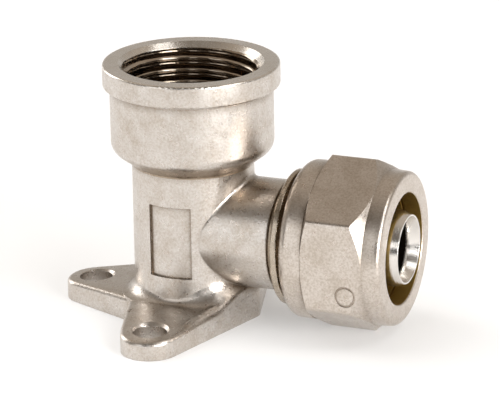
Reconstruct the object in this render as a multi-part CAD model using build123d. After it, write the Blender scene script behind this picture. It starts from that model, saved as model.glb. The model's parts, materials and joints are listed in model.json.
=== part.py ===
from build123d import *
import math
import os

# Wall-plate elbow for multilayer pipe, in millimetres.
# The wall face of the plate is z = 0, the socket axis is Z and the outlet axis runs along +X.

# Socket with the female pipe thread, whose plain wall stands at the thread's pitch diameter
TOTAL_HEIGHT = 38.25
SOCKET_HEIGHT = 12.65
SHOULDER_DROP = 2.25
SHOULDER_RADIUS = 2.0
RIM_DIAMETER = 26.0
RIM_STEP = 1.0
RIM_HEIGHT = 3.3
RIM_EDGE_RADIUS = 0.35
SOCKET_THREAD_DIAMETER = 19.79
SOCKET_THREAD_DEPTH = 12.0
SOCKET_MOUTH_CHAMFER = 0.785

# Neck and waterway
NECK_DIAMETER = 18.0
NECK_CORNER_RADIUS = 0.5
NECK_FOOT_RADIUS = 0.9
WATERWAY_DIAMETER = 12.5
WATERWAY_FLOOR = 7.6
DRILL_HALF_ANGLE = 59.0

# Wall plate with three ears, whose top falls away from the neck; its thickness is that at the side holes
PLATE_THICKNESS = 3.05
EAR_SLOPE = 4.5
PLATE_EDGE_RADIUS = 0.7
EAR_RADIUS = 4.35
EAR_HOLE_DIAMETER = 4.9
EAR_HOLE_CHAMFER = 0.25
REAR_HOLE_DISTANCE = 16.2
SIDE_HOLE_DISTANCE = 18.3
SIDE_HOLE_OFFSET = 0.4
ROOT_RADIUS = 11.2
PLATE_FRONT = 10.1
PLATE_FRONT_RADIUS = 2.0

# Ribs along the two front edges of the plate, rising to the branch
RIB_TIP_RADIUS = 1.0
RIB_FOOT_RADIUS = 1.7
RIB_INSET = 0.03
RIB_LENGTH = 16.0
RIB_TIP_RISE = 0.35
RIB_FOOT_RISE = 2.1

# Bare recessed panel on the neck
PANEL_WIDTH = 6.6
PANEL_HEIGHT = 10.9
PANEL_OFFSET = -0.3
PANEL_DEPTH = 0.35

# Branch and threaded spigot
OUTLET_HEIGHT = 13.15
BRANCH_DIAMETER = 16.3
BRANCH_END = 14.6
BRANCH_END_RADIUS = 0.3
RELIEF_DIAMETER = 15.6
SPIGOT_START = 15.6
SPIGOT_DIAMETER = 19.94
SPIGOT_END = 23.0
SPIGOT_CHAMFER = 0.5
BLEND_RADIUS = 0.7

# Pipe socket and stem
PIPE_SOCKET_DIAMETER = 16.3
PIPE_STOP = 16.6
SPIGOT_CONE_DEPTH = 0.8
STEM_DIAMETER = 11.2
STEM_END = 33.5
STEM_TAPER_LENGTH = 1.5
STEM_LIP_DIAMETER = 10.15
STEM_MOUTH_DIAMETER = 9.7
STEM_MOUTH_DEPTH = 1.9
STEM_BORE_DIAMETER = 8.0

# O-rings on the stem
O_RING_SECTION = 1.3
O_RING_REAR = 20.6
O_RING_FRONT = 26.4
GROOVE_DEPTH = 0.75
GROOVE_WIDTH = 1.7
SEAT_CLEARANCE = 0.02

# Insulating washer
WASHER_THICKNESS = 1.0
WASHER_CLEARANCE = 0.1

# Compression nut
NUT_REAR = 17.35
NUT_FRONT = 32.84
NUT_ACROSS_FLATS = 23.0
HEX_EDGE_RADIUS = 1.0
SKIRT_DIAMETER = 23.2
SKIRT_EDGE_RADIUS = 1.3
HEX_REAR = 20.9
HEX_FRONT = 30.2
HEX_REAR_RAMP = 1.0
HEX_FRONT_RAMP = 1.85
NOSE_REAR_DIAMETER = 22.8
NOSE_FRONT_DIAMETER = 22.5
NOSE_EDGE_RADIUS = 0.75
THREAD_CLEARANCE = 0.06
NUT_THREAD_LENGTH = 8.0
NUT_MOUTH_CHAMFER = 0.5
NUT_BORE_DIAMETER = 16.44
NUT_BORE_LENGTH = 2.6
NUT_BORE_CHAMFER = 0.15
MARK_DIAMETER = 2.8
MARK_GROOVE = 0.3
MARK_DEPTH = 0.12
MARK_PLACE = 27.8
MARK_DROP = 4.0

# Split ring
RING_DIAMETER = 18.0
RING_BORE_DIAMETER = 16.3
RING_CLEARANCE = 0.1
RING_SLIT = 1.6
RING_NOSE_WALL = 0.3

CREASE_TOLERANCE = 0.01
OVERCUT = 1.0
SOCKET_DIAMETER = RIM_DIAMETER - 2 * RIM_STEP
NECK_TOP = TOTAL_HEIGHT - SOCKET_HEIGHT - SHOULDER_DROP
OUTLET_AXIS = Axis((0, 0, OUTLET_HEIGHT), (1, 0, 0))
OUTLET_PLANE = Plane((0, 0, OUTLET_HEIGHT), x_dir=(1, 0, 0), z_dir=(0, -1, 0))


def turned(points, axis_plane, axis):
    """Solid of revolution of a closed profile, given as (radius, station) or (station, radius) pairs."""
    profile = make_face(Polyline(*points, close=True))
    return revolve(axis_plane * profile, axis)


def turned_on_socket(points):
    """Turned about the socket axis from (radius, height) pairs."""
    return turned(points, Plane.XZ, Axis.Z)


def turned_on_outlet(points):
    """Turned about the outlet axis from (station, radius) pairs."""
    return turned(points, OUTLET_PLANE, OUTLET_AXIS)


def outlet_tube(start, end, outer_diameter, inner_diameter=0.0):
    """Plain cylinder or tube on the outlet axis."""
    outer = outer_diameter / 2
    inner = inner_diameter / 2
    return turned_on_outlet([(start, inner), (end, inner), (end, outer), (start, outer)])


def circle_at(x, y, radius):
    return Pos(x, y) * Circle(radius)


def hull_of(*circles):
    return make_hull([edge for circle in circles for edge in circle.edges()])


def ear_centres():
    """Centres of the three screw holes: rear, near side and far side."""
    return [
        (-REAR_HOLE_DISTANCE, 0.0),
        (SIDE_HOLE_OFFSET, -SIDE_HOLE_DISTANCE),
        (SIDE_HOLE_OFFSET, SIDE_HOLE_DISTANCE),
    ]


def plate_outline():
    """Three ears that widen towards the neck, and a blunt point under the branch."""
    root = circle_at(0, 0, ROOT_RADIUS)
    ears = [circle_at(x, y, EAR_RADIUS) for x, y in ear_centres()]
    point = circle_at(PLATE_FRONT - PLATE_FRONT_RADIUS, 0, PLATE_FRONT_RADIUS)
    widened = hull_of(root, ears[0]) + hull_of(root, ears[1]) + hull_of(root, ears[2])
    length = REAR_HOLE_DISTANCE + EAR_RADIUS
    width = 2 * (SIDE_HOLE_DISTANCE + EAR_RADIUS)
    rear_half = Rectangle(length, width, align=(Align.MAX, Align.CENTER))
    return (widened & rear_half) + hull_of(ears[1], ears[2], point)


def plate_top(distance):
    """Height of the plate's top at a distance from the socket axis."""
    return PLATE_THICKNESS + (SIDE_HOLE_DISTANCE - distance) * math.tan(math.radians(EAR_SLOPE))


def plate():
    """Eared plate under a shallow cone, with its upper edges rounded."""
    reach = math.hypot(SIDE_HOLE_OFFSET, SIDE_HOLE_DISTANCE) + EAR_RADIUS + OVERCUT
    roof = turned_on_socket([(0, 0), (reach, 0), (reach, plate_top(reach)), (0, plate_top(0))])
    slab = extrude(plate_outline(), plate_top(0)) & roof
    top = slab.faces().filter_by(GeomType.CONE)[0]
    return fillet(top.edges(), PLATE_EDGE_RADIUS)


def ear_holes():
    """Screw holes through the ears, with a small chamfer at the top."""
    hole = EAR_HOLE_DIAMETER / 2
    drills = []
    for x, y in ear_centres():
        top = plate_top(math.hypot(x, y))
        mouth = hole + EAR_HOLE_CHAMFER + OVERCUT
        chamfer_foot = top - EAR_HOLE_CHAMFER
        profile = [(0, 0), (hole, 0), (hole, chamfer_foot), (mouth, top + OVERCUT), (0, top + OVERCUT)]
        drills.append(Pos(x, y, 0) * turned_on_socket(profile))
    return drills


def column():
    """Neck, shoulder, socket and rim, turned about the socket axis, with every corner rounded."""
    neck = NECK_DIAMETER / 2
    socket = SOCKET_DIAMETER / 2
    rim = RIM_DIAMETER / 2
    socket_foot = TOTAL_HEIGHT - SOCKET_HEIGHT
    rim_foot = TOTAL_HEIGHT - RIM_HEIGHT
    corners = {
        (neck, NECK_TOP): NECK_CORNER_RADIUS,
        (socket, socket_foot): SHOULDER_RADIUS,
        (socket, rim_foot): RIM_EDGE_RADIUS,
        (rim, rim_foot): RIM_EDGE_RADIUS,
        (rim, TOTAL_HEIGHT): RIM_EDGE_RADIUS,
    }
    profile = make_face(Polyline((0, TOTAL_HEIGHT), (0, 0), (neck, 0), *corners, close=True))
    for place, radius in corners.items():
        vertex = profile.vertices().sort_by_distance((*place, 0))[0]
        profile = fillet(vertex, radius)
    return revolve(Plane.XZ * profile, Axis.Z)


def flare():
    """Concave foot of the neck, kept inside the plate's outline."""
    neck = NECK_DIAMETER / 2
    foot = neck + NECK_FOOT_RADIUS
    bottom = plate_top(foot)
    top = bottom + NECK_FOOT_RADIUS
    inside = neck - OVERCUT
    side = Polyline((inside, top), (inside, 0), (foot, 0), (foot, bottom))
    curve = RadiusArc((foot, bottom), (neck, top), NECK_FOOT_RADIUS)
    lid = Line((neck, top), (inside, top))
    ring = revolve(Plane.XZ * make_face([side, curve, lid]), Axis.Z)
    return ring & extrude(plate_outline(), top)


def rib_section(plane, radius, crest):
    """Upright section of a rib with a round crest, on a plane whose origin is at the rib's outer foot."""
    wall = crest - radius
    sides = Polyline((2 * radius, wall), (2 * radius, 0), (0, 0), (0, wall))
    top = ThreePointArc((0, wall), (radius, crest), (2 * radius, wall))
    return plane * make_face([sides, top])


def rib(side):
    """Tapered rib along one front edge of the plate, from the ear up to the branch, flush with the edge."""
    across = PLATE_FRONT - PLATE_FRONT_RADIUS - SIDE_HOLE_OFFSET
    between = math.hypot(across, SIDE_HOLE_DISTANCE)
    narrowing = math.asin((EAR_RADIUS - PLATE_FRONT_RADIUS) / between)
    lean = math.atan2(across, SIDE_HOLE_DISTANCE) - narrowing
    outward = Vector(math.cos(lean), side * math.sin(lean), 0)
    towards_ear = Vector(-math.sin(lean), side * math.cos(lean), 0)
    front = Vector(PLATE_FRONT - PLATE_FRONT_RADIUS, 0, 0) + outward * (PLATE_FRONT_RADIUS - RIB_INSET)
    along = Vector(0, 0, 1).cross(outward)
    foot = Plane(front, x_dir=-outward, z_dir=along)
    tip = Plane(front + towards_ear * RIB_LENGTH, x_dir=-outward, z_dir=along)
    sections = [
        rib_section(foot, RIB_FOOT_RADIUS, PLATE_THICKNESS + RIB_FOOT_RISE),
        rib_section(tip, RIB_TIP_RADIUS, PLATE_THICKNESS + RIB_TIP_RISE),
    ]
    return loft(sections)


def front_post():
    """Round front of the plate, raised between the ribs to the branch, with the ribs' round crest."""
    height = PLATE_THICKNESS + RIB_FOOT_RISE
    post = Cylinder(PLATE_FRONT_RADIUS - RIB_INSET, height, align=(Align.CENTER, Align.CENTER, Align.MIN))
    post = fillet(post.edges().group_by(Axis.Z)[-1], RIB_FOOT_RADIUS)
    return Pos(PLATE_FRONT - PLATE_FRONT_RADIUS, 0, 0) * post


def tee():
    """Plain neck and forged branch, blended where they meet."""
    neck = NECK_DIAMETER / 2
    branch_radius = BRANCH_DIAMETER / 2
    upright = (Align.CENTER, Align.CENTER, Align.MIN)
    blank = outlet_tube(0, BRANCH_END, BRANCH_DIAMETER)
    end_edge = blank.edges().filter_by(GeomType.CIRCLE).sort_by(Axis.X)[-1]
    blank = fillet(end_edge, BRANCH_END_RADIUS) + Cylinder(neck, TOTAL_HEIGHT - RIM_HEIGHT, align=upright)

    def in_crease(edge):
        point = edge.position_at(0.5)
        on_neck = abs(math.hypot(point.X, point.Y) - neck) < CREASE_TOLERANCE
        on_branch = abs(math.hypot(point.Y, point.Z - OUTLET_HEIGHT) - branch_radius) < CREASE_TOLERANCE
        return on_neck and on_branch

    return fillet(blank.edges().filter_by(in_crease), BLEND_RADIUS)


def spigot():
    """Machined relief and threaded spigot, turned about the outlet axis."""
    relief = outlet_tube(0, SPIGOT_START + BRANCH_END_RADIUS, RELIEF_DIAMETER)
    outer = SPIGOT_DIAMETER / 2
    rear_chamfer = SPIGOT_CHAMFER / 2
    sleeve = turned_on_outlet(
        [
            (SPIGOT_START, 0),
            (SPIGOT_END, 0),
            (SPIGOT_END, outer - SPIGOT_CHAMFER),
            (SPIGOT_END - SPIGOT_CHAMFER, outer),
            (SPIGOT_START + rear_chamfer, outer),
            (SPIGOT_START, outer - rear_chamfer),
        ]
    )
    return relief + sleeve


def stem():
    """Pipe stem with two seal grooves and a tapered nose, standing in the spigot."""
    outer = STEM_DIAMETER / 2
    body = turned_on_outlet(
        [
            (0, 0),
            (STEM_END, 0),
            (STEM_END, STEM_LIP_DIAMETER / 2),
            (STEM_END - STEM_TAPER_LENGTH, outer),
            (0, outer),
        ]
    )
    for station in (O_RING_REAR, O_RING_FRONT):
        start = station - GROOVE_WIDTH / 2
        root = STEM_DIAMETER - 2 * GROOVE_DEPTH
        body -= outlet_tube(start, start + GROOVE_WIDTH, STEM_DIAMETER + OVERCUT, root)
    return body


def pipe_socket():
    """Space between spigot and stem that takes the pipe end, with a cone at its mouth."""
    wall = PIPE_SOCKET_DIAMETER / 2
    cone = SPIGOT_END - SPIGOT_CONE_DEPTH
    return turned_on_outlet(
        [
            (PIPE_STOP, 0),
            (STEM_END + OVERCUT, 0),
            (STEM_END + OVERCUT, wall + SPIGOT_CONE_DEPTH),
            (SPIGOT_END, wall + SPIGOT_CONE_DEPTH),
            (cone, wall),
            (PIPE_STOP, wall),
        ]
    )


def waterway():
    """Socket bore, drilled neck and stem bore."""
    thread = SOCKET_THREAD_DIAMETER / 2
    drill = WATERWAY_DIAMETER / 2
    floor = TOTAL_HEIGHT - SOCKET_THREAD_DEPTH
    slope = 1 / math.tan(math.radians(DRILL_HALF_ANGLE))
    down = turned_on_socket(
        [
            (0, WATERWAY_FLOOR - drill * slope),
            (drill, WATERWAY_FLOOR),
            (drill, floor - (thread - drill) * slope),
            (thread, floor),
            (thread, TOTAL_HEIGHT - SOCKET_MOUTH_CHAMFER),
            (thread + SOCKET_MOUTH_CHAMFER, TOTAL_HEIGHT),
            (0, TOTAL_HEIGHT),
        ]
    )
    bore = STEM_BORE_DIAMETER / 2
    out = turned_on_outlet(
        [
            (0, 0),
            (STEM_END, 0),
            (STEM_END, STEM_MOUTH_DIAMETER / 2),
            (STEM_END - STEM_MOUTH_DEPTH, bore),
            (0, bore),
        ]
    )
    return down + out


def panel_block():
    """Block with the panel's outline that reaches the near side of the neck, centred on the branch height."""
    depth = NECK_DIAMETER
    return Pos(PANEL_OFFSET, -depth / 2, OUTLET_HEIGHT) * Box(PANEL_WIDTH, depth, PANEL_HEIGHT)


def neck_sleeve(outer_radius, inner_radius):
    upright = (Align.CENTER, Align.CENTER, Align.MIN)
    return Cylinder(outer_radius, NECK_TOP, align=upright) - Cylinder(inner_radius, NECK_TOP, align=upright)


def elbow_body():
    neck = NECK_DIAMETER / 2
    forging = plate() + column() + flare() + tee() + rib(-1) + rib(1) + front_post()
    forging -= panel_block() & neck_sleeve(neck + OVERCUT, neck - PANEL_DEPTH)
    forging += spigot()
    for hole in ear_holes():
        forging -= hole
    forging -= pipe_socket()
    forging += stem()
    return forging - waterway()


def hexagon_blank():
    """Hexagon with a corner upwards, its corners turned off by a cone at each end."""
    flat_radius = NUT_ACROSS_FLATS / 2
    corner_radius = flat_radius / math.cos(math.radians(30))
    prism = Plane.YZ * RegularPolygon(corner_radius, 6, rotation=90)
    prism = Pos(HEX_REAR, 0, OUTLET_HEIGHT) * extrude(prism, HEX_FRONT - HEX_REAR)
    prism = fillet(prism.edges().filter_by(Axis.X), HEX_EDGE_RADIUS)
    cones = turned_on_outlet(
        [
            (HEX_REAR, 0),
            (HEX_FRONT, 0),
            (HEX_FRONT, NOSE_REAR_DIAMETER / 2),
            (HEX_FRONT - HEX_FRONT_RAMP, corner_radius),
            (HEX_REAR + HEX_REAR_RAMP, corner_radius),
            (HEX_REAR, NUT_ACROSS_FLATS / 2),
        ]
    )
    return prism & cones


def round_mark():
    """Shallow ring left by the forging die on the near flat of the nut."""
    flat_radius = NUT_ACROSS_FLATS / 2
    ring = Circle(MARK_DIAMETER / 2 + MARK_GROOVE / 2) - Circle(MARK_DIAMETER / 2 - MARK_GROOVE / 2)
    place = Plane(
        (MARK_PLACE, -flat_radius - MARK_DEPTH, OUTLET_HEIGHT - MARK_DROP), x_dir=(1, 0, 0), z_dir=(0, 1, 0)
    )
    return extrude(place * ring, 2 * MARK_DEPTH)


def compression_nut():
    collar = outlet_tube(NUT_REAR, HEX_REAR, SKIRT_DIAMETER)
    rear_edge = collar.edges().filter_by(GeomType.CIRCLE).sort_by(Axis.X)[0]
    collar = fillet(rear_edge, SKIRT_EDGE_RADIUS)
    nose = turned_on_outlet(
        [
            (HEX_FRONT, 0),
            (NUT_FRONT, 0),
            (NUT_FRONT, NOSE_FRONT_DIAMETER / 2),
            (HEX_FRONT, NOSE_REAR_DIAMETER / 2),
        ]
    )
    front_edge = nose.edges().filter_by(GeomType.CIRCLE).sort_by(Axis.X)[-1]
    nose = fillet(front_edge, NOSE_EDGE_RADIUS)
    blank = collar + hexagon_blank() + nose

    thread = SPIGOT_DIAMETER / 2 + THREAD_CLEARANCE
    chamber = RING_DIAMETER / 2 + RING_CLEARANCE
    bore = NUT_BORE_DIAMETER / 2
    thread_end = NUT_REAR + NUT_THREAD_LENGTH
    seat_end = NUT_FRONT - NUT_BORE_LENGTH
    seat_start = seat_end - (chamber - bore)
    blank -= turned_on_outlet(
        [
            (NUT_REAR, 0),
            (NUT_FRONT, 0),
            (NUT_FRONT, bore + NUT_BORE_CHAMFER),
            (NUT_FRONT - NUT_BORE_CHAMFER, bore),
            (seat_end, bore),
            (seat_start, chamber),
            (thread_end, chamber),
            (thread_end, thread),
            (NUT_REAR + NUT_MOUTH_CHAMFER, thread),
            (NUT_REAR, thread + NUT_MOUTH_CHAMFER),
        ]
    )
    return blank - round_mark()


def split_ring():
    """Clamping ring with a cone at each end, one for the nut's seat and one for the spigot's mouth."""
    outer = RING_DIAMETER / 2
    inner = RING_BORE_DIAMETER / 2
    ramp = outer - inner - RING_NOSE_WALL
    seat_end = NUT_FRONT - NUT_BORE_LENGTH
    gap = RING_CLEARANCE * math.sqrt(2)
    front = seat_end - (inner + RING_NOSE_WALL - NUT_BORE_DIAMETER / 2) - gap
    mouth = PIPE_SOCKET_DIAMETER / 2 + SPIGOT_CONE_DEPTH
    rear = SPIGOT_END - (mouth - inner - RING_NOSE_WALL) + gap
    ring = turned_on_outlet(
        [
            (rear, inner),
            (front, inner),
            (front, inner + RING_NOSE_WALL),
            (front - ramp, outer),
            (rear + ramp, outer),
            (rear, inner + RING_NOSE_WALL),
        ]
    )
    slit_length = front - rear
    slit = Pos((front + rear) / 2, 0, OUTLET_HEIGHT + outer) * Box(2 * slit_length, RING_SLIT, RING_DIAMETER)
    return ring - slit


def o_ring(station):
    """Seal seated in a stem groove."""
    root = STEM_DIAMETER / 2 - GROOVE_DEPTH + SEAT_CLEARANCE
    ring = Torus(root + O_RING_SECTION / 2, O_RING_SECTION / 2)
    return Pos(station, 0, OUTLET_HEIGHT) * Rot(0, 90, 0) * ring


def insulating_washer():
    return outlet_tube(
        PIPE_STOP,
        PIPE_STOP + WASHER_THICKNESS,
        PIPE_SOCKET_DIAMETER - 2 * WASHER_CLEARANCE,
        STEM_DIAMETER + 2 * WASHER_CLEARANCE,
    )


pieces = {
    "elbow_body": elbow_body(),
    "compression_nut": compression_nut(),
    "split_ring": split_ring(),
    "o_ring_rear": o_ring(O_RING_REAR),
    "o_ring_front": o_ring(O_RING_FRONT),
    "insulating_washer": insulating_washer(),
}

os.makedirs("parts", exist_ok=True)
for name, piece in pieces.items():
    export_step(piece, f"parts/{name}.step")
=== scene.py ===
import json
import math
import bmesh
import bpy
from mathutils import Matrix, Vector


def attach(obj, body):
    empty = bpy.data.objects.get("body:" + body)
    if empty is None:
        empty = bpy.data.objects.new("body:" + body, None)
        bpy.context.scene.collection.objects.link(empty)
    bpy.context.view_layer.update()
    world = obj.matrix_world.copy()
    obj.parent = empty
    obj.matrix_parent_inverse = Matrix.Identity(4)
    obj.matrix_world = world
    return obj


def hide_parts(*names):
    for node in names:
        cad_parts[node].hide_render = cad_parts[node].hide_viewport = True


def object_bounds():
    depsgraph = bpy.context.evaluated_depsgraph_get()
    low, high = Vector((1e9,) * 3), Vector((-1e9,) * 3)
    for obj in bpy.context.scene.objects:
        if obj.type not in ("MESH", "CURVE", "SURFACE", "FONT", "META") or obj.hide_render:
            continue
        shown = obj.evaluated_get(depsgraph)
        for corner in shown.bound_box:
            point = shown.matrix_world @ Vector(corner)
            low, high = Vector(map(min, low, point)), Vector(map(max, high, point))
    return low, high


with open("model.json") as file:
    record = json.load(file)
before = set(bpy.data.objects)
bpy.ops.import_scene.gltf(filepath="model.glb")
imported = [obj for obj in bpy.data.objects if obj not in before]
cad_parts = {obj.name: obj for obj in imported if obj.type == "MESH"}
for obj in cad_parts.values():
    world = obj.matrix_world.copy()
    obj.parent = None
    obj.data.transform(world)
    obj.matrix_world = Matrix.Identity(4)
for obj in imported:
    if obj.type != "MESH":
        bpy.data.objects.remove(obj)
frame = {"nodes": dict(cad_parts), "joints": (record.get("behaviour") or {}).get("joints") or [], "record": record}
cad_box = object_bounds()

MM = 0.001
FULL_TURN = 2 * math.pi
QUARTER_TURN = FULL_TURN / 4
EIGHTH_TURN = FULL_TURN / 8

# Camera at the photograph's viewing angle, for a frame 500 pixels wide
FRAME_WIDTH_PIXELS = 500
FOCAL_PIXELS = 3414
SENSOR_WIDTH_MM = 36.0
CAMERA_DISTANCE = 500 * MM
CAMERA_AZIMUTH = math.radians(21.867)
CAMERA_ELEVATION = math.radians(19.06)
CAMERA_ROLL = math.radians(0.907)
CAMERA_TARGET = Vector((8.898, 0.0, 17.923)) * MM
CAMERA_CLIP = (0.01, 50.0)

# Floor
FLOOR_SIZE = 8.0
FLOOR_GAP = 0.02 * MM
FLOOR_PAINT = (0.70, 0.70, 0.70, 1)
FLOOR_GLOW = 0.28

# Studio's colour from the floor's level up, and its strength from behind the part round to the camera
SKY_COLOURS = [
    (0.00, (0.90, 0.89, 0.88)),
    (0.06, (0.75, 0.73, 0.71)),
    (0.20, (0.52, 0.49, 0.455)),
    (0.40, (0.48, 0.44, 0.395)),
    (0.70, (0.56, 0.49, 0.415)),
    (1.00, (0.55, 0.48, 0.41)),
]
SKY_STRENGTHS = [(0.00, 1.00), (0.35, 0.95), (0.50, 0.80), (0.66, 0.35), (1.00, 0.15)]

# Share of a thread's flank that lies level at its root, and again at its crest
THREAD_LEVEL = 0.05

# Half-inch pipe thread in the socket
SOCKET_PITCH = 1.814 * MM
SOCKET_THREAD_DEPTH = 1.162 * MM

# Metric thread between spigot and nut
NUT_PITCH = 1.5 * MM
SPIGOT_RADIUS = 9.97 * MM
SPIGOT_ROOT_RADIUS = 9.1 * MM
SPIGOT_THREAD_SPAN = (15.85 * MM, 22.5 * MM)
SPIGOT_THREAD_START = 16.3 * MM
SPIGOT_RUN_IN = NUT_PITCH / 3
SPIGOT_RUN_OUT = 0.2 * MM
NUT_THREAD_RADIUS = 10.03 * MM
NUT_CREST_RADIUS = 9.2 * MM
NUT_THREAD_SPAN = (17.85 * MM, 25.35 * MM)
NUT_RUN_OUT = NUT_PITCH / 2

# Foot of the neck, whose blend into the plate is wider between the ears and widest under the branch
FOOT_NECK_RADIUS = 8.97 * MM
FOOT_INSIDE = 8.5 * MM
FOOT_BOTTOM = 0.05 * MM
FOOT_WAVES = 4
FOOT_BLEND_AT_EARS = 1.05 * MM
FOOT_BLEND_REAR = 2.3 * MM
FOOT_BLEND_FRONT = 4.5 * MM
FOOT_EDGE_RADIUS = 1.5 * MM
FRONT_EDGE_DISTANCE = 9.776 * MM
FRONT_EDGE_LEAN = math.radians(16.02)
FRONT_REACH = 10.08 * MM
PLATE_MIDDLE_HEIGHT = 4.49 * MM
PLATE_FALL = math.tan(math.radians(4.5))

# Corners of the plate between the rear ear and the side ears
NOTCH = Vector((-8.61, 8.34)) * MM
NOTCH_SHIFT = Vector((1.55, 0.35)) * MM
FLANK_DISTANCE = 11.2 * MM
FLANK_LENGTH = 11.5 * MM
FLANK_TURNS = (math.radians(115.0), math.radians(156.8))
FLANK_NORMALS = [Vector((math.cos(turn), math.sin(turn))) for turn in FLANK_TURNS]
FLANK_ROUNDING = 0.8 * MM

# Ear end of the ribs along the plate's front edges
RIB_TIP_PLACE = 13.764 * MM
RIB_TIP_HEIGHT = 3.14 * MM

# Limits between the finishes of the body and of the nut
RIM_TOP_DEPTH = 0.3 * MM
BRANCH_END = 14.65 * MM
NECK_WATERWAY_RADIUS = 6.35 * MM
STEM_BORE_RADIUS = 4.05 * MM
STEM_RADIUS = 5.65 * MM
PLATE_TOP = 5.0 * MM
NUT_INSIDE_RADIUS = 10.6 * MM
NUT_FACE = 32.6 * MM

# Fineness of the meshes, and how closely their places are matched
STEPS_AROUND = 160
THREAD_STEPS_PER_PITCH = 16
FOOT_STEPS = 12
FOOT_EDGE_STEPS = 4
WELD_DISTANCE = 0.002 * MM
PLACE_TOLERANCE = 0.02 * MM
SHARP_ANGLE = math.radians(32)
NORMAL_WEIGHT = 90

# Pattern of the metals: darker clouds and specks, and uneven gloss
CLOUD_SCALE = 350.0
CLOUD_DETAIL = 5.0
CLOUD_ROUGHNESS = 0.6
CLOUD_RANGE = (0.40, 0.75)
CLOUD_SHARE = 0.6
GRAIN_DETAIL = 2.0
GRAIN_ROUGHNESS = 0.6
SPECK_RANGE = (0.40, 0.68)
GLOSS_PER_CLOUD = 3.5
GLOSS_DETAIL = 3.0
GLOSS_RANGE = (0.3, 0.7)

# Worn edges, and grime with painted shade in the crevices, darkest where the surface is most hemmed in
EDGE_WEAR_RADIUS = 0.12 * MM
EDGE_SAMPLES = 4
CREVICE_REACH = 1.5 * MM
CREVICE_RANGE = (0.70, 0.98)
CREVICE_SAMPLES = 6
CREVICE_GRIME_AND_SHADE_SHARE = 0.66
# Colour of the grime and painted crevice shade
CREVICE_GRIME_AND_SHADE = (0.15, 0.10, 0.055)

# Painted shade under the socket's shoulder, between heights, which fades out over the last stretch
SHOULDER_SHADE_FOOT = 23.1 * MM
SHOULDER_SHADE_FADE = (24.7 * MM, 25.7 * MM)
SHOULDER_SHADE_STRENGTH = 0.7
SHOULDER_SHADE = (0.29, 0.21, 0.13)

# Scale and detail of the patterns in rubber and plastic
MATTE_CLOUDS = (500.0, 4.0)
MATTE_GLOSS = (900.0, 3.0)
MATTE_GRAIN = (3000.0, 3.0)

outlet_height = next(joint for joint in frame["joints"] if joint["name"] == "nut_turn")["pos_m"][2]
socket_mount = next(mount for mount in frame["record"]["mounts"] if mount["name"] == "socket_thread")
socket_wall = socket_mount["dims"]["r_mm"] * MM
socket_floor = socket_mount["pos_m"][2] - socket_mount["dims"]["length_mm"] * MM / 2
socket_chamfer = socket_mount["pos_m"][2] + socket_mount["dims"]["length_mm"] * MM / 2
socket_top = cad_box[1].z
socket_mouth = socket_wall + socket_top - socket_chamfer

# Each axis's own frame, whose z runs along the axis
TO_SOCKET = Matrix.Identity(4)
TO_OUTLET = Matrix.Translation((0, 0, outlet_height)) @ Matrix(
    ((0, 0, 1, 0), (1, 0, 0, 0), (0, 1, 0, 0), (0, 0, 0, 1))
)


# Shader helpers


class Nodes:
    """Short way to add and join the nodes of one material or world."""

    def __init__(self, owner):
        owner.use_nodes = True
        self.tree = owner.node_tree
        self.tree.nodes.clear()

    def add(self, kind, **settings):
        node = self.tree.nodes.new(kind)
        for name, value in settings.items():
            setattr(node, name, value)
        return node

    def put(self, node, **values):
        """Sets a node's inputs by name, with an underscore for each space."""
        for name, value in values.items():
            node.inputs[name.replace("_", " ")].default_value = value
        return node

    def join(self, source, target):
        self.tree.links.new(source, target)

    def maths(self, operation, first, second=0.0, clamped=False):
        """Result of an operation, whose second value may be a plain number."""
        node = self.add("ShaderNodeMath", operation=operation, use_clamp=clamped)
        self.join(first, node.inputs[0])
        if isinstance(second, float):
            node.inputs[1].default_value = second
        else:
            self.join(second, node.inputs[1])
        return node.outputs["Value"]

    def vector_maths(self, operation, first, constant=(0, 0, 0), output="Vector"):
        node = self.add("ShaderNodeVectorMath", operation=operation)
        self.join(first, node.inputs[0])
        node.inputs[1].default_value = constant
        return node.outputs[output]

    def height(self, place):
        """The z of a place or a direction."""
        node = self.add("ShaderNodeSeparateXYZ")
        self.join(place, node.inputs["Vector"])
        return node.outputs["Z"]

    def noise(self, coordinates, scale, detail, roughness=0.5):
        node = self.add("ShaderNodeTexNoise")
        self.put(node, Scale=scale, Detail=detail, Roughness=roughness)
        self.join(coordinates, node.inputs["Vector"])
        return node.outputs["Fac"]

    def spread(self, value, low, high, start=0.0, end=1.0):
        """A value from start to end, spread over low to high."""
        node = self.add("ShaderNodeMapRange")
        self.put(node, From_Min=start, From_Max=end, To_Min=low, To_Max=high)
        self.join(value, node.inputs["Value"])
        return node.outputs["Result"]

    def blend(self, factor, first, second):
        """Colour between two, of which the first may come from another node."""
        node = self.add("ShaderNodeMix", data_type="RGBA")
        colours = [socket for socket in node.inputs if socket.type == "RGBA"]
        if isinstance(first, tuple):
            colours[0].default_value = (*first, 1)
        else:
            self.join(first, colours[0])
        colours[1].default_value = (*second, 1)
        self.join(factor, node.inputs["Factor"])
        return next(output for output in node.outputs if output.type == "RGBA")

    def ramp(self, value, stops):
        """Colour looked up on a ramp of (position, colour) stops."""
        node = self.add("ShaderNodeValToRGB")
        elements = node.color_ramp.elements
        elements[0].position, elements[0].color = stops[0][0], (*stops[0][1], 1)
        elements[1].position, elements[1].color = stops[-1][0], (*stops[-1][1], 1)
        for position, colour in stops[1:-1]:
            elements.new(position).color = (*colour, 1)
        self.join(value, node.inputs["Fac"])
        return node.outputs["Color"]

    def bump(self, height, depth, normal=None):
        node = self.add("ShaderNodeBump")
        self.put(node, Strength=1.0, Distance=depth)
        self.join(height, node.inputs["Height"])
        if normal:
            self.join(normal, node.inputs["Normal"])
        return node.outputs["Normal"]

    def finish(self, shader, output_kind="ShaderNodeOutputMaterial"):
        self.join(shader, self.add(output_kind).inputs["Surface"])


# Materials

SOCKET_AXIS = ((0, 0, 0), (0, 0, 1))
OUTLET_AXIS = ((0, 0, outlet_height), (1, 0, 0))


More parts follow.
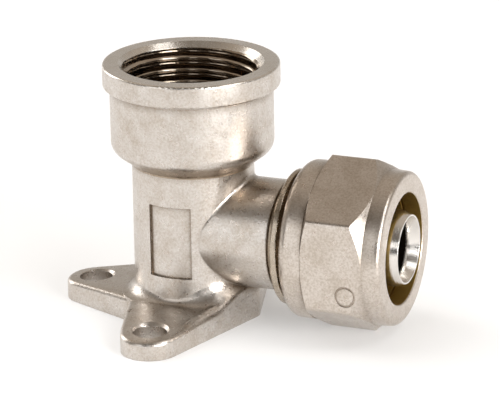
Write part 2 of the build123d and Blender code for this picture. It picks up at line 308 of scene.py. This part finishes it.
def turning_lines(nodes, place, axis, spacing):
    """Wave of fine lathe lines round an axis, on faces that lie across it and along it."""
    centre, direction = axis
    shifted = nodes.vector_maths("SUBTRACT", place, centre)
    along = nodes.vector_maths("DOT_PRODUCT", shifted, direction, "Value")
    across = nodes.vector_maths("CROSS_PRODUCT", shifted, direction)
    total = nodes.maths("ADD", along, nodes.vector_maths("LENGTH", across, output="Value"))
    return nodes.maths("SINE", nodes.maths("MULTIPLY", total, FULL_TURN / spacing))


def metal(
    name, light, dark, roughness, grain, depth, speckle,
    patch=CLOUD_SCALE, grime_and_shade=None, lines=None, shoulder_shade=None,
):
    """Metal with darker clouds and specks, uneven gloss, worn edges and a fine grain.

    Where they are given, grime with painted shade darkens its crevices, painted shade darkens a band under the
    socket's shoulder, and lathe lines, as (axis, spacing, depth), run round an axis.
    """
    material = bpy.data.materials.new(name)
    nodes = Nodes(material)
    place = nodes.add("ShaderNodeTexCoord").outputs["Object"]
    shader = nodes.add("ShaderNodeBsdfPrincipled")
    nodes.put(shader, Metallic=1.0)
    cloudy = nodes.noise(place, patch, CLOUD_DETAIL, CLOUD_ROUGHNESS)
    clouds = nodes.spread(cloudy, 0.0, CLOUD_SHARE, *CLOUD_RANGE)
    fine = nodes.noise(place, grain, GRAIN_DETAIL, GRAIN_ROUGHNESS)
    specks = nodes.spread(fine, 0.0, speckle, *SPECK_RANGE)
    colour = nodes.blend(nodes.maths("ADD", clouds, specks, clamped=True), light, dark)
    # Grime and painted shade: ambient occlusion darkens the colour where the surface is hemmed in
    if grime_and_shade:
        shade = nodes.add("ShaderNodeAmbientOcclusion", samples=CREVICE_SAMPLES, only_local=True)
        nodes.put(shade, Distance=CREVICE_REACH)
        grime_and_shade_mask = nodes.spread(shade.outputs["AO"], CREVICE_GRIME_AND_SHADE_SHARE, 0.0, *CREVICE_RANGE)
        colour = nodes.blend(grime_and_shade_mask, colour, grime_and_shade)
    # Painted shade: a brown band darkens the colour under the socket's shoulder, between set heights
    if shoulder_shade:
        height = nodes.height(place)
        above_foot = nodes.maths("GREATER_THAN", height, SHOULDER_SHADE_FOOT)
        fading = nodes.spread(height, SHOULDER_SHADE_STRENGTH, 0.0, *SHOULDER_SHADE_FADE)
        colour = nodes.blend(nodes.maths("MULTIPLY", above_foot, fading), colour, shoulder_shade)
    nodes.join(colour, shader.inputs["Base Color"])
    gloss = nodes.noise(place, GLOSS_PER_CLOUD * patch, GLOSS_DETAIL)
    nodes.join(nodes.spread(gloss, *roughness, *GLOSS_RANGE), shader.inputs["Roughness"])
    edges = nodes.add("ShaderNodeBevel", samples=EDGE_SAMPLES)
    nodes.put(edges, Radius=EDGE_WEAR_RADIUS)
    normal = nodes.bump(fine, depth, edges.outputs["Normal"])
    if lines:
        axis, spacing, line_depth = lines
        normal = nodes.bump(turning_lines(nodes, place, axis, spacing), line_depth, normal)
    nodes.join(normal, shader.inputs["Normal"])
    nodes.finish(shader.outputs["BSDF"])
    return material


def matte(name, light, dark, roughness, depth):
    """Rubber or plastic with a faint cloudiness and a moulded grain."""
    material = bpy.data.materials.new(name)
    nodes = Nodes(material)
    place = nodes.add("ShaderNodeTexCoord").outputs["Object"]
    shader = nodes.add("ShaderNodeBsdfPrincipled")
    colour = nodes.blend(nodes.noise(place, *MATTE_CLOUDS), light, dark)
    nodes.join(colour, shader.inputs["Base Color"])
    gloss = nodes.spread(nodes.noise(place, *MATTE_GLOSS), *roughness)
    nodes.join(gloss, shader.inputs["Roughness"])
    grain = nodes.bump(nodes.noise(place, *MATTE_GRAIN), depth)
    nodes.join(grain, shader.inputs["Normal"])
    nodes.finish(shader.outputs["BSDF"])
    return material


forged_nickel = metal(
    "forged_nickel",
    light=(0.67, 0.63, 0.59),
    dark=(0.48, 0.415, 0.35),
    roughness=(0.25, 0.36),
    grain=3300.0,
    depth=0.028 * MM,
    speckle=0.55,
    # grime with painted shade in the crevices
    grime_and_shade=CREVICE_GRIME_AND_SHADE,
    # painted shade under the socket's shoulder
    shoulder_shade=SHOULDER_SHADE,
)
turned_nickel = metal(
    "turned_nickel",
    light=(0.73, 0.69, 0.64),
    dark=(0.60, 0.54, 0.47),
    roughness=(0.20, 0.30),
    grain=4500.0,
    depth=0.003 * MM,
    speckle=0.25,
    lines=(SOCKET_AXIS, 0.22 * MM, 0.003 * MM),
)
# Darker nickel for the socket's thread and the neck's waterway: painted shade for the inside of these hollows
thread_nickel = metal(
    "thread_nickel",
    light=(0.47, 0.40, 0.325),
    dark=(0.32, 0.255, 0.195),
    roughness=(0.08, 0.16),
    grain=4500.0,
    depth=0.002 * MM,
    speckle=0.3,
)
polished_nickel = metal(
    "polished_nickel",
    light=(0.79, 0.76, 0.72),
    dark=(0.67, 0.62, 0.57),
    roughness=(0.17, 0.26),
    grain=4500.0,
    depth=0.0008 * MM,
    speckle=0.1,
    lines=(OUTLET_AXIS, 0.20 * MM, 0.0015 * MM),
)
spigot_nickel = metal(
    "spigot_nickel",
    light=(0.53, 0.46, 0.38),
    dark=(0.38, 0.315, 0.24),
    roughness=(0.22, 0.32),
    grain=4500.0,
    depth=0.004 * MM,
    speckle=0.5,
    # grime with painted shade in the crevices
    grime_and_shade=CREVICE_GRIME_AND_SHADE,
    lines=(OUTLET_AXIS, 0.22 * MM, 0.003 * MM),
)
nut_nickel = metal(
    "nut_nickel",
    light=(0.66, 0.60, 0.545),
    dark=(0.49, 0.425, 0.36),
    roughness=(0.26, 0.35),
    grain=3600.0,
    depth=0.016 * MM,
    speckle=0.85,
    patch=280.0,
    # grime with painted shade in the crevices
    grime_and_shade=CREVICE_GRIME_AND_SHADE,
)
bare_brass = metal(
    "bare_brass",
    light=(0.57, 0.41, 0.13),
    dark=(0.42, 0.28, 0.08),
    roughness=(0.35, 0.45),
    grain=4000.0,
    depth=0.003 * MM,
    speckle=0.3,
    lines=(OUTLET_AXIS, 0.25 * MM, 0.004 * MM),
)
# Near-black for the stem's bore: painted shade for its deep inside, not the brass's own colour
bore_brass = metal(
    "bore_brass",
    light=(0.014, 0.010, 0.006),
    dark=(0.008, 0.006, 0.004),
    roughness=(0.5, 0.6),
    grain=4000.0,
    depth=0.003 * MM,
    speckle=0.3,
)
seal_rubber = matte(
    "seal_rubber",
    light=(0.022, 0.022, 0.022),
    dark=(0.035, 0.034, 0.032),
    roughness=(0.45, 0.6),
    depth=0.004 * MM,
)
washer_plastic = matte(
    "washer_plastic",
    light=(0.82, 0.81, 0.77),
    dark=(0.76, 0.74, 0.70),
    roughness=(0.4, 0.55),
    depth=0.003 * MM,
)


# Geometry helpers


def welded_copy(node):
    """The mesh of a CAD node, with its seams joined, ready to be changed."""
    copy = bmesh.new()
    copy.from_mesh(frame["nodes"][node].data)
    bmesh.ops.remove_doubles(copy, verts=copy.verts, dist=WELD_DISTANCE)
    return copy


def on_axis(point, to_axis):
    """Distance along and from an axis, for a point in the part's frame."""
    local = to_axis.inverted() @ point
    return local.z, math.hypot(local.x, local.y)


def remove_wall(copy, to_axis, span, radii):
    """Takes out the plain wall, between two radii, that a thread takes the place of."""
    low, high = span[0] - PLACE_TOLERANCE, span[1] + PLACE_TOLERANCE
    inner, outer = radii[0] - PLACE_TOLERANCE, radii[1] + PLACE_TOLERANCE
    wall = []
    for face in copy.faces:
        places = [on_axis(vert.co, to_axis) for vert in face.verts]
        if all(low <= station <= high and inner <= radius <= outer for station, radius in places):
            wall.append(face)
    bmesh.ops.delete(copy, geom=wall, context="FACES")


def ramp(value, start, end):
    """0 at start, 1 at end, and straight between."""
    return min(max((value - start) / (end - start), 0.0), 1.0)


def thread_height(station, angle, pitch):
    """Height of a V thread at a place, from 0 on its round root to 1 on its round crest."""
    phase = (station / pitch - angle / FULL_TURN) % 1.0
    flank = ramp(1 - abs(2 * phase - 1), THREAD_LEVEL, 1 - THREAD_LEVEL)
    return (1 - math.cos(math.pi * flank)) / 2


def add_thread(copy, to_axis, span, pitch, radius_at, outward):
    """Adds a threaded wall whose radius at (station, angle) the caller gives."""
    rows = round((span[1] - span[0]) / pitch * THREAD_STEPS_PER_PITCH)
    grid = []
    for row in range(rows + 1):
        station = span[0] + (span[1] - span[0]) * row / rows
        ring = []
        for step in range(STEPS_AROUND):
            angle = FULL_TURN * step / STEPS_AROUND
            radius = radius_at(station, angle)
            place = Vector((radius * math.cos(angle), radius * math.sin(angle), station))
            ring.append(copy.verts.new(to_axis @ place))
        grid.append(ring)
    for lower, upper in zip(grid, grid[1:]):
        for step in range(STEPS_AROUND):
            after = (step + 1) % STEPS_AROUND
            corners = [lower[step], lower[after], upper[after], upper[step]]
            copy.faces.new(corners if outward else corners[::-1])


def finished_piece(copy, name, node, body, materials):
    """Object from a worked mesh, shaded smooth up to its sharp edges, in place of its CAD node."""
    mesh = bpy.data.meshes.new(name)
    for layer in list(copy.loops.layers.float_vector.values()):
        copy.loops.layers.float_vector.remove(layer)
    copy.to_mesh(mesh)
    copy.free()
    if "custom_normal" in mesh.attributes:
        mesh.attributes.remove(mesh.attributes["custom_normal"])
    for material in materials:
        mesh.materials.append(material)
    mesh.shade_smooth()
    mesh.set_sharp_from_angle(angle=SHARP_ANGLE)
    piece = bpy.data.objects.new(name, mesh)
    bpy.context.scene.collection.objects.link(piece)
    normals = piece.modifiers.new("even_faces", "WEIGHTED_NORMAL")
    normals.keep_sharp = True
    normals.weight = NORMAL_WEIGHT
    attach(piece, body)
    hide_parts(node)


# Pieces


def socket_radius(station, angle):
    """Wall of the socket's thread, cut into the countersink at the mouth and run out at the bottom."""
    height = thread_height(station, angle, SOCKET_PITCH)
    cut = (0.5 - height) * SOCKET_THREAD_DEPTH * ramp(station, socket_floor, socket_floor + SOCKET_PITCH)
    return max(socket_wall + cut, socket_mouth - (socket_top - station))


def spigot_radius(station, angle):
    """Wall of the spigot's thread: plain behind, then cut, and run out at the chamfer of its end."""
    start, end = SPIGOT_THREAD_START, SPIGOT_THREAD_SPAN[1]
    depth = (SPIGOT_RADIUS - SPIGOT_ROOT_RADIUS) * ramp(station, start, start + SPIGOT_RUN_IN)
    depth *= ramp(end - station, 0.0, SPIGOT_RUN_OUT)
    return SPIGOT_RADIUS - depth * (1 - thread_height(station, angle, NUT_PITCH))


def nut_radius(station, angle):
    """Wall of the nut's thread, whose ridges lie in the spigot's grooves, half a pitch on."""
    low, high = NUT_THREAD_SPAN
    depth = NUT_THREAD_RADIUS - NUT_CREST_RADIUS
    depth *= ramp(station, low, low + NUT_RUN_OUT) * ramp(high - station, 0.0, NUT_RUN_OUT)
    return NUT_THREAD_RADIUS - depth * thread_height(station + NUT_PITCH / 2, angle, NUT_PITCH)


def foot_section(angle):
    """Section of the neck's foot at an angle, as (radius, height) pairs round a closed loop.

    A hollow curve leads from the neck to the plate's top, or to its front edge, where it is rounded over.
    """
    turn = abs(math.remainder(angle, FULL_TURN))
    in_front = turn < QUARTER_TURN
    wide = FOOT_BLEND_FRONT if in_front else FOOT_BLEND_REAR
    share = 1.0 if turn < EIGHTH_TURN else (1 - math.cos(FOOT_WAVES * turn)) / 2
    blend = FOOT_BLEND_AT_EARS + (wide - FOOT_BLEND_AT_EARS) * share
    centre = FOOT_NECK_RADIUS + blend
    level = PLATE_MIDDLE_HEIGHT - centre * PLATE_FALL + blend
    sweep = QUARTER_TURN
    over = 0.0
    if in_front:
        edge = FRONT_EDGE_DISTANCE / math.cos(turn - FRONT_EDGE_LEAN)
        if turn < FRONT_EDGE_LEAN:
            edge = min(edge, FRONT_REACH)
        over = FOOT_EDGE_RADIUS
        sweep = math.acos(max(centre - edge + over, 0.0) / (blend + over))
    leans = [sweep * step / FOOT_STEPS for step in range(FOOT_STEPS + 1)]
    curve = [(centre - blend * math.cos(lean), level - blend * math.sin(lean)) for lean in leans]
    radius, height = curve[-1]
    for step in range(1, FOOT_EDGE_STEPS + 1):
        lean = sweep * (1 - step / FOOT_EDGE_STEPS)
        drop = FOOT_EDGE_RADIUS * (math.sin(sweep) - math.sin(lean))
        curve.append((radius + over * (math.cos(lean) - math.cos(sweep)), height - drop))
    return [(FOOT_INSIDE, FOOT_BOTTOM), (FOOT_INSIDE, level), *curve, (curve[-1][0], FOOT_BOTTOM)]


def add_foot(copy):
    """Adds the neck's flared foot, a closed ring that ends inside the plate and the neck."""
    rings = []
    for step in range(STEPS_AROUND):
        angle = FULL_TURN * step / STEPS_AROUND
        across = Vector((math.cos(angle), math.sin(angle), 0))
        places = [across * radius + Vector((0, 0, height)) for radius, height in foot_section(angle)]
        rings.append([copy.verts.new(place) for place in places])
    for ring, following in zip(rings, rings[1:] + rings[:1]):
        for index in range(len(ring)):
            copy.faces.new((ring[index - 1], ring[index], following[index], following[index - 1]))


def deepen_notches(copy):
    """Moves the plate's corners between rear and side ears closer to the neck, with their flanks."""
    for vert in copy.verts:
        side = math.copysign(1, vert.co.y)
        place = Vector((vert.co.x, side * vert.co.y))
        depth = max(FLANK_DISTANCE - place.dot(normal) for normal in FLANK_NORMALS)
        share = 1 - ramp((place - NOTCH).length, 0.0, FLANK_LENGTH)
        share *= 1 - ramp(depth, FLANK_ROUNDING, 2 * FLANK_ROUNDING)
        if vert.co.z < PLATE_TOP:
            vert.co += Vector((NOTCH_SHIFT.x, side * NOTCH_SHIFT.y, 0)) * share


def settle_rib_tips(copy):
    """Brings the ear end of each rib down to the plate's top, so that the rib runs out into it."""
    for vert in copy.verts:
        side = math.copysign(1, vert.co.y)
        along = side * vert.co.y * math.cos(FRONT_EDGE_LEAN) - vert.co.x * math.sin(FRONT_EDGE_LEAN)
        if abs(along - RIB_TIP_PLACE) < PLACE_TOLERANCE:
            vert.co.z = min(vert.co.z, RIB_TIP_HEIGHT)


def body_finish(centre):
    """Finish of a face of the body, by the place of its middle."""
    station, radius = on_axis(centre, TO_OUTLET)
    height, reach = on_axis(centre, TO_SOCKET)
    # The stem's bore takes the near-black painted shade
    if station > 0 and radius < STEM_BORE_RADIUS:
        return bore_brass
    if station > BRANCH_END:
        return polished_nickel if radius < STEM_RADIUS else spigot_nickel
    in_neck = reach < NECK_WATERWAY_RADIUS and height > PLATE_TOP
    in_socket = reach < socket_mouth and height > socket_floor
    on_rim = height > socket_top - RIM_TOP_DEPTH
    on_countersink = in_socket and height > socket_chamfer
    if on_rim or on_countersink:
        return turned_nickel
    # The socket's thread and the neck's waterway take the darker metal, painted shade for the hollows
    return thread_nickel if in_socket or in_neck else forged_nickel


def elbow_body():
    """The body with its two threads, flared foot and finishes."""
    copy = welded_copy("elbow_body")
    deepen_notches(copy)
    settle_rib_tips(copy)
    add_foot(copy)
    socket_span = (socket_floor, socket_top)
    remove_wall(copy, TO_SOCKET, socket_span, (socket_wall, socket_mouth))
    remove_wall(copy, TO_OUTLET, SPIGOT_THREAD_SPAN, (SPIGOT_RADIUS, SPIGOT_RADIUS))
    add_thread(copy, TO_SOCKET, socket_span, SOCKET_PITCH, socket_radius, outward=False)
    add_thread(copy, TO_OUTLET, SPIGOT_THREAD_SPAN, NUT_PITCH, spigot_radius, outward=True)
    finishes = [forged_nickel, turned_nickel, thread_nickel, spigot_nickel, polished_nickel, bore_brass]
    for face in copy.faces:
        face.material_index = finishes.index(body_finish(face.calc_center_median()))
    finished_piece(copy, "body_look", "elbow_body", "elbow", finishes)


def compression_nut():
    """The nut with its thread, nickel outside and bare brass inside."""
    copy = welded_copy("compression_nut")
    remove_wall(copy, TO_OUTLET, NUT_THREAD_SPAN, (NUT_THREAD_RADIUS, NUT_THREAD_RADIUS))
    add_thread(copy, TO_OUTLET, NUT_THREAD_SPAN, NUT_PITCH, nut_radius, outward=False)
    finishes = [nut_nickel, bare_brass]
    for face in copy.faces:
        station, radius = on_axis(face.calc_center_median(), TO_OUTLET)
        inside = radius < NUT_INSIDE_RADIUS and station < NUT_FACE
        face.material_index = finishes.index(bare_brass if inside else nut_nickel)
    finished_piece(copy, "nut_look", "compression_nut", "nut", finishes)


def dress_node(node, material):
    """Gives a CAD node that stays as it is its material."""
    materials = frame["nodes"][node].data.materials
    materials.clear()
    materials.append(material)


elbow_body()
compression_nut()
dress_node("split_ring", bare_brass)
dress_node("o_ring_rear", seal_rubber)
dress_node("o_ring_front", seal_rubber)
dress_node("insulating_washer", washer_plastic)


# Stage, light and camera


def bearing(azimuth, elevation):
    """Direction away from the part, by its turn to the right of the front and its rise above the floor."""
    level = math.cos(elevation)
    return Vector((math.sin(azimuth) * level, -math.cos(azimuth) * level, math.sin(elevation)))


def floor():
    """Pale floor that stays white in view and in the metal, and keeps a soft shadow."""
    half = FLOOR_SIZE / 2
    corners = [(-half, -half, 0), (half, -half, 0), (half, half, 0), (-half, half, 0)]
    mesh = bpy.data.meshes.new("floor")
    mesh.from_pydata(corners, [], [(0, 1, 2, 3)])
    plane = bpy.data.objects.new("floor", mesh)
    plane.location.z = -FLOOR_GAP
    bpy.context.scene.collection.objects.link(plane)
    material = bpy.data.materials.new("floor")
    nodes = Nodes(material)
    rays = nodes.add("ShaderNodeLightPath").outputs
    seen = nodes.maths("MAXIMUM", rays["Is Camera Ray"], rays["Is Glossy Ray"])
    seen = nodes.maths("MAXIMUM", seen, rays["Is Transmission Ray"])
    paint = nodes.put(nodes.add("ShaderNodeBsdfDiffuse"), Color=FLOOR_PAINT)
    glow = nodes.put(nodes.add("ShaderNodeEmission"), Color=(1, 1, 1, 1), Strength=FLOOR_GLOW)
    lit = nodes.add("ShaderNodeAddShader")
    nodes.join(paint.outputs["BSDF"], lit.inputs[0])
    nodes.join(glow.outputs["Emission"], lit.inputs[1])
    mix = nodes.add("ShaderNodeMixShader")
    nodes.join(seen, mix.inputs["Fac"])
    nodes.join(paint.outputs["BSDF"], mix.inputs[1])
    nodes.join(lit.outputs["Shader"], mix.inputs[2])
    nodes.finish(mix.outputs["Shader"])
    mesh.materials.append(material)


def studio_world():
    """Dim studio: pale at floor level and behind the part, darker above, darkest towards the camera."""
    world = bpy.data.worlds.new("studio")
    bpy.context.scene.world = world
    nodes = Nodes(world)
    towards = nodes.add("ShaderNodeTexCoord").outputs["Generated"]
    colour = nodes.ramp(nodes.height(towards), SKY_COLOURS)
    facing = nodes.vector_maths("DOT_PRODUCT", towards, bearing(CAMERA_AZIMUTH, 0.0), "Value")
    greys = [(position, (level, level, level)) for position, level in SKY_STRENGTHS]
    strength = nodes.ramp(nodes.spread(facing, 0.0, 1.0, start=-1.0), greys)
    back = nodes.add("ShaderNodeBackground")
    nodes.join(colour, back.inputs["Color"])
    nodes.join(strength, back.inputs["Strength"])
    nodes.finish(back.outputs["Background"], "ShaderNodeOutputWorld")


def softbox(name, side, rise, distance, width, height, power, mirrored=True):
    """Flat lamp that faces the part, placed by degrees right of the camera and above the floor.

    One that isn't mirrored lights the part and shows no reflection in the metal.
    """
    lamp = bpy.data.lights.new(name, "AREA")
    lamp.shape = "RECTANGLE"
    lamp.size = width
    lamp.size_y = height
    lamp.energy = power
    place = bpy.data.objects.new(name, lamp)
    towards = bearing(CAMERA_AZIMUTH + math.radians(side), math.radians(rise))
    place.location = CAMERA_TARGET + towards * distance
    place.rotation_mode = "QUATERNION"
    place.rotation_quaternion = towards.to_track_quat("Z", "Y")
    place.visible_glossy = mirrored
    bpy.context.scene.collection.objects.link(place)


def camera():
    """Camera that sees the part as the photograph does."""
    data = bpy.data.cameras.new("camera")
    data.sensor_width = SENSOR_WIDTH_MM
    data.lens = FOCAL_PIXELS / FRAME_WIDTH_PIXELS * SENSOR_WIDTH_MM
    data.clip_start, data.clip_end = CAMERA_CLIP
    eye = bpy.data.objects.new("camera", data)
    bpy.context.scene.collection.objects.link(eye)
    back = bearing(CAMERA_AZIMUTH, CAMERA_ELEVATION)
    right = Vector((math.cos(CAMERA_AZIMUTH), math.sin(CAMERA_AZIMUTH), 0))
    up = back.cross(right)
    tilted_right = right * math.cos(CAMERA_ROLL) - up * math.sin(CAMERA_ROLL)
    tilted_up = right * math.sin(CAMERA_ROLL) + up * math.cos(CAMERA_ROLL)
    turn = Matrix((tilted_right, tilted_up, back)).transposed().to_4x4()
    eye.matrix_world = Matrix.Translation(CAMERA_TARGET + back * CAMERA_DISTANCE) @ turn
    bpy.context.scene.camera = eye


floor()
studio_world()
softbox("right_softbox", side=38, rise=14, distance=0.6, width=0.34, height=0.30, power=3.2)
softbox("high_right_softbox", side=62, rise=48, distance=0.7, width=0.30, height=0.35, power=1.1)
softbox("left_softbox", side=-128, rise=20, distance=0.7, width=0.34, height=0.40, power=1.25)
softbox("front_card", side=-45, rise=19, distance=0.9, width=0.42, height=0.62, power=1.10)
softbox("stem_card", side=-2, rise=26, distance=0.9, width=0.20, height=0.26, power=0.33)
softbox("top_softbox", side=-100, rise=62, distance=0.9, width=0.9, height=0.9, power=4.8, mirrored=False)
camera()
bpy.context.scene.view_settings.view_transform = "Standard"
